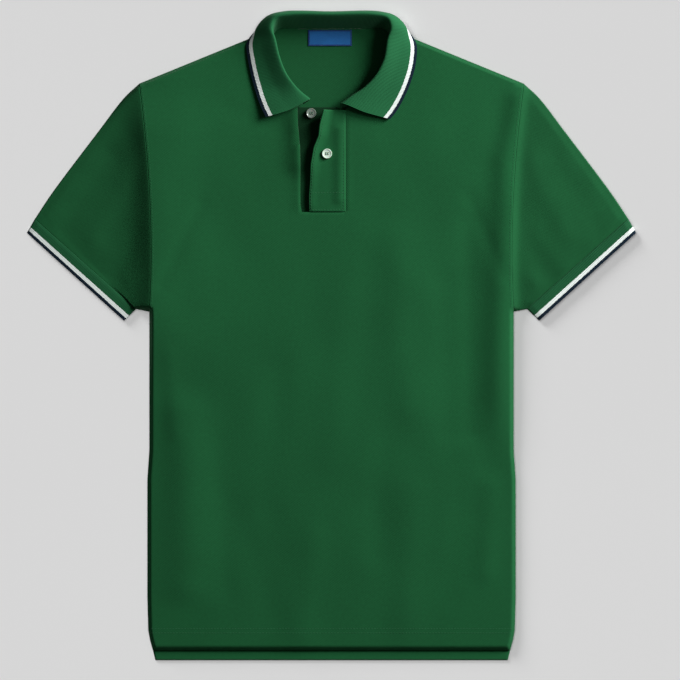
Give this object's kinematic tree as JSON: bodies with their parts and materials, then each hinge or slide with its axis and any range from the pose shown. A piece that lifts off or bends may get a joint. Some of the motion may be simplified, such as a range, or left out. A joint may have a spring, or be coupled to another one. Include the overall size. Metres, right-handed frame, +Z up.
{
  "type": "polo shirt",
  "caption": "Green short-sleeved polo shirt with navy and white tipping, laid out flat, collar folded down and placket open at the top.",
  "frame": {"origin": "on the surface that the shirt lies on, under the middle of its outline", "axes": "+X to the wearer's left, which is the viewer's right, +Y from the hem to the collar, +Z up from the surface, out of the front"},
  "size_m": [0.7004, 0.7454, 0.0259],
  "materials": {
    "pique": "matt cotton pique knit",
    "rib_knit": "matt rib knit with navy and white tipping",
    "pearl_button": "pearly, glossy",
    "woven_label": "satin woven"
  },
  "bodies": {
    "root": {"back": "pique", "front": "pique", "sleeve_left": "pique", "sleeve_right": "pique", "cuff_left": "rib_knit", "cuff_right": "rib_knit", "collar": "rib_knit", "placket_upper": "pique", "placket_under": "pique", "label": "woven_label", "button_lower": "pearl_button", "button_top": "pearl_button"}
  },
  "joints": []
}
